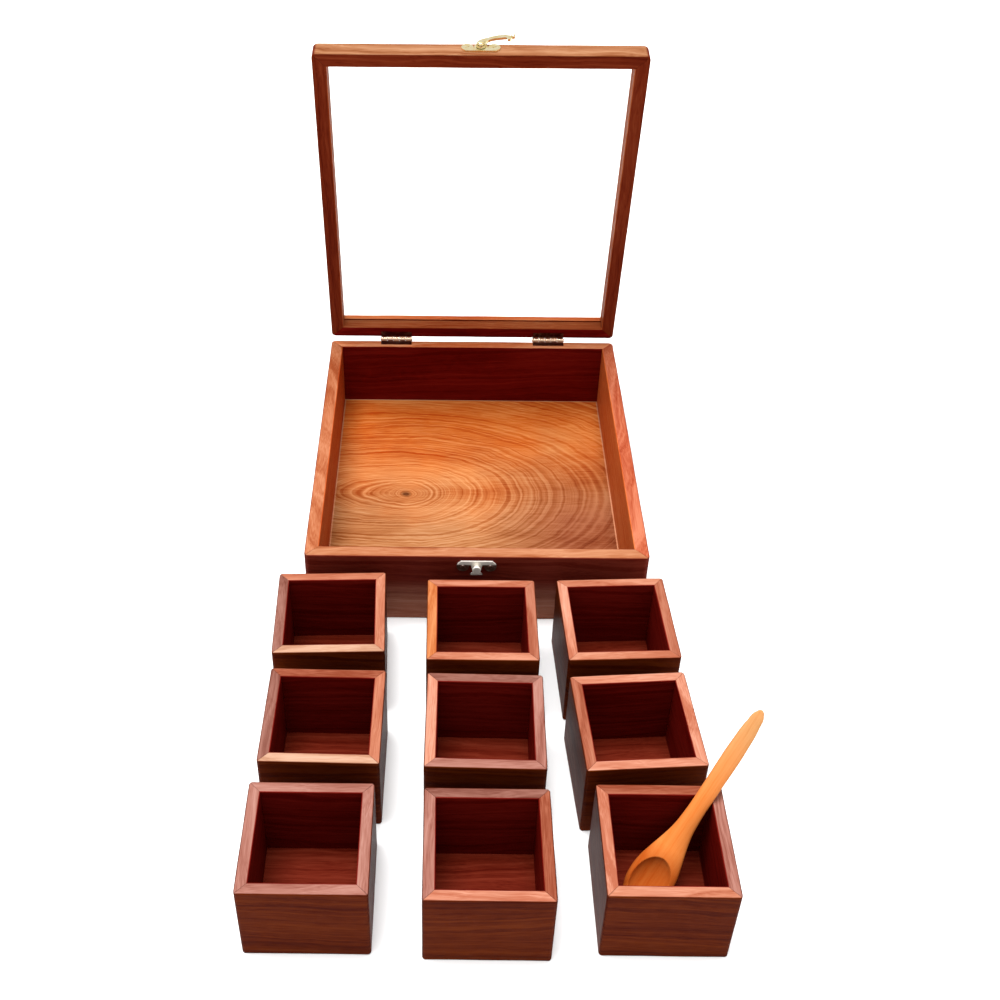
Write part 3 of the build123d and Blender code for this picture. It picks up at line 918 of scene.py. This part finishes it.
# the tone of each cup's upper edges, sanded and paler also as painted top light and sheen: front,
# back, left, right
CUP_EDGES = {
    "cup_back_left": ("pale", "tan", "umber", "tan"),
    "cup_middle_left": ("pale", "russet", "umber", "tan"),
    "cup_front_left": ("rose", "rose", "rose", "rose"),
    "cup_back_middle": ("tan", "tan", "orange", "russet"),
    "cup_centre": ("rose", "umber", "salmon", "rose"),
    "cup_front_middle": ("salmon", "umber", "rose", "russet"),
    "cup_back_right": ("tan", "tan", "salmon", "russet"),
    "cup_middle_right": ("salmon", "salmon", "russet", "salmon"),
    "cup_front_right": ("tan", "russet", "salmon", "rose"),
}
cup_size = (CUP_WIDTH, CUP_WIDTH)
cup_outline = [(0, 0), (CUP_WALL, 0), (CUP_WALL, CUP_HEIGHT), (0, CUP_HEIGHT)]
cup_ease = np.array([0.4, 0.2, 0.5, 0.6]) * MM
for count, (cup, turn) in enumerate(CUP_TURNS.items()):
    low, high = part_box(f"{cup}_base")
    c, s = np.cos(np.radians(turn)), np.sin(np.radians(turn))
    cup_place = (
        np.array([[c, -s, 0], [s, c, 0], [0, 0, 1]]),
        np.array([(low.x + high.x) / 2, (low.y + high.y) / 2, 0]),
    )
    for number, side in enumerate(OUTWARD):
        place = board_place(side, cup_size, cup_place)
        seed = 100 + 10 * count + number
        points = mitred_board(
            side, cup_size, CUP_WALL, CUP_CORNER, cup_outline, cup_ease, place, seed=seed
        )
        timber = sheesham(
            f"oiled_sheesham_{cup}_{side}",
            "cup face",
            place,
            seed=seed,
            lean=(0.03, -0.04, 0.06, -0.05)[(count + number) % 4],
            # the inner faces are deep red as painted shade; the upper edges are paler also as
            # painted top light and sheen
            skins=arrised(CUP_HEIGHT, CUP_WALL, CUP_EDGES[cup][number], "cup face", "deep red"),
        )
        pair = "end_boards" if side in ("front", "back") else "side_boards"
        mesh_piece(
            f"{cup}_{side}",
            points,
            tube_faces(*points.shape[:2]),
            cup,
            [f"{cup}_{pair}"],
            timber,
        )

    floor_place = (cup_place[0], cup_place[1] + np.array([0, 0, CUP_BASE]))
    base_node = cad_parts[f"{cup}_base"]
    base_node.data.materials.clear()
    base_node.data.materials.append(
        sheesham(
            f"oiled_sheesham_{cup}_floor", "cup floor", floor_place, seed=105 + 10 * count
        )
    )

# spoon --------------------------------------------------------------------------------------

# where the bowl's middle stands, the handle's heading and lean, and the bowl's roll
BOWL_AT = np.array([92.9, -342.8, 18.1]) * MM
heading, spoon_lean, spoon_roll = np.radians([41.6, 46.2, 20.0])
along = np.array(
    [
        np.cos(heading) * np.cos(spoon_lean),
        np.sin(heading) * np.cos(spoon_lean),
        np.sin(spoon_lean),
    ]
)
upward = np.array(
    [
        -np.cos(heading) * np.sin(spoon_lean),
        -np.sin(heading) * np.sin(spoon_lean),
        np.cos(spoon_lean),
    ]
)
bowl_normal = upward * np.cos(spoon_roll) + np.cross(along, upward) * np.sin(spoon_roll)
spoon_turn = np.stack([along, np.cross(bowl_normal, along), bowl_normal], axis=1)
spoon_place = (spoon_turn, BOWL_AT)
spoon_shape = spoon_points(spoon_place)
mesh_piece(
    "spoon",
    spoon_shape,
    tube_faces(*spoon_shape.shape[:2]),
    "spoon",
    ["wooden_spoon"],
    spoon_wood("oiled_fruit_wood", spoon_place),
    crease=28,
)

# the parts that keep their own shapes --------------------------------------------------------

# the hinges: brass, the leaves dark reddish like the wood as painted shade, the knuckles paler as
# painted glints
hinge_brass = brass(
    "brass_with_painted_shade_and_glints", "#f4cdb0", "#4a1408", smooth=0.18, coarse=0.5, bright=near_pin
)
# the latch: polished brass, a pale gold with faint tarnish
latch_brass = brass("polished_brass", "#fbf0c8", "#e4cc8c", smooth=0.16, coarse=0.28)
# the strike plate: silvery along its upper edge and round the catch as a painted highlight, dull
# brown elsewhere as painted shade
strike_metal = brass(
    "strike_metal_with_painted_highlight_and_shade",
    "#f6f0e6",
    "#4a2a1c",
    smooth=0.25,
    coarse=0.4,
    bright=near_catch,
    metallic=0.4,
)
glass = float_glass("clear_float_glass")
KNOT_AT = (-50.9 * MM, -1.6 * MM)
panel = figured_sheesham("figured_sheesham_panel", box_place, KNOT_AT)
# the finish of each part, by how its name starts
finishes = {
    "hinge": hinge_brass,
    "latch": latch_brass,
    "strike": strike_metal,
    "lid_glass": glass,
    "box_base_panel": panel,
}
for node_name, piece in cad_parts.items():
    for start, material in finishes.items():
        if node_name.startswith(start):
            piece.data.materials.clear()
            piece.data.materials.append(material)

# floor, light and camera --------------------------------------------------------------------

FLOOR_REACH = 12.0
floor_mesh = bpy.data.meshes.new("floor")
floor_corners = np.array([(-1, -1, 0), (1, -1, 0), (1, 1, 0), (-1, 1, 0)]) * FLOOR_REACH
floor_mesh.from_pydata(floor_corners.tolist(), [], [(0, 1, 2, 3)])
floor = bpy.data.objects.new("floor", floor_mesh)
floor.location.z = -0.2 * MM
bpy.context.scene.collection.objects.link(floor)
# matt white paint, rolled: it scatters the light evenly and shows no reflection
floor_paint, _, floor_shader = new_material("matt_pale_floor")
floor_shader.inputs["Base Color"].default_value = linear("#f4f4f4")
floor_shader.inputs["Roughness"].default_value = 0.9
floor_mesh.materials.append(floor_paint)

world = bpy.data.worlds.new("studio")
bpy.context.scene.world = world
world.use_nodes = True
sky = world.node_tree
sky.nodes.clear()
way = add_node(sky, "ShaderNodeTexCoord").outputs["Generated"]
height_up = add_node(sky, "ShaderNodeSeparateXYZ", {0: way}).outputs["Z"]
glow = add_node(
    sky,
    "ShaderNodeMapRange",
    {"Value": height_up, "From Min": 0.0, "From Max": 0.9, "To Min": 0.7, "To Max": 1.1},
).outputs[0]
background = add_node(sky, "ShaderNodeBackground", {"Strength": glow})
add_node(sky, "ShaderNodeOutputWorld", {"Surface": background.outputs[0]})

lamp = bpy.data.lights.new("overhead softbox", "SUN")
lamp.energy = 4.8
lamp.angle = np.radians(34)
lamp_object = bpy.data.objects.new("overhead softbox", lamp)
bpy.context.scene.collection.objects.link(lamp_object)
lamp_object.rotation_euler = (np.radians(-4), np.radians(-6), 0)

CAMERA_AT = np.array([-23.41, -750.52, 646.94]) * MM
CAMERA_YAW, CAMERA_PITCH, CAMERA_ROLL = np.radians([-0.433, 38.231, 0.286])
forward = np.array(
    [
        np.sin(CAMERA_YAW) * np.cos(CAMERA_PITCH),
        np.cos(CAMERA_YAW) * np.cos(CAMERA_PITCH),
        -np.sin(CAMERA_PITCH),
    ]
)
level_right = np.array([np.cos(CAMERA_YAW), -np.sin(CAMERA_YAW), 0])
level_up = np.cross(level_right, forward)
right = level_right * np.cos(CAMERA_ROLL) + level_up * np.sin(CAMERA_ROLL)
up = level_up * np.cos(CAMERA_ROLL) - level_right * np.sin(CAMERA_ROLL)
camera = bpy.data.objects.new("camera", bpy.data.cameras.new("camera"))
camera.data.sensor_width = 36
camera.data.lens = 46.33
camera.data.shift_x = 0.065
camera.data.shift_y = -0.06
camera.matrix_world = Matrix.Translation(CAMERA_AT.tolist()) @ Matrix(
    np.stack([right, up, -forward], axis=1).tolist()
).to_4x4()
bpy.context.scene.collection.objects.link(camera)
bpy.context.scene.camera = camera
bpy.context.scene.view_settings.view_transform = "Standard"
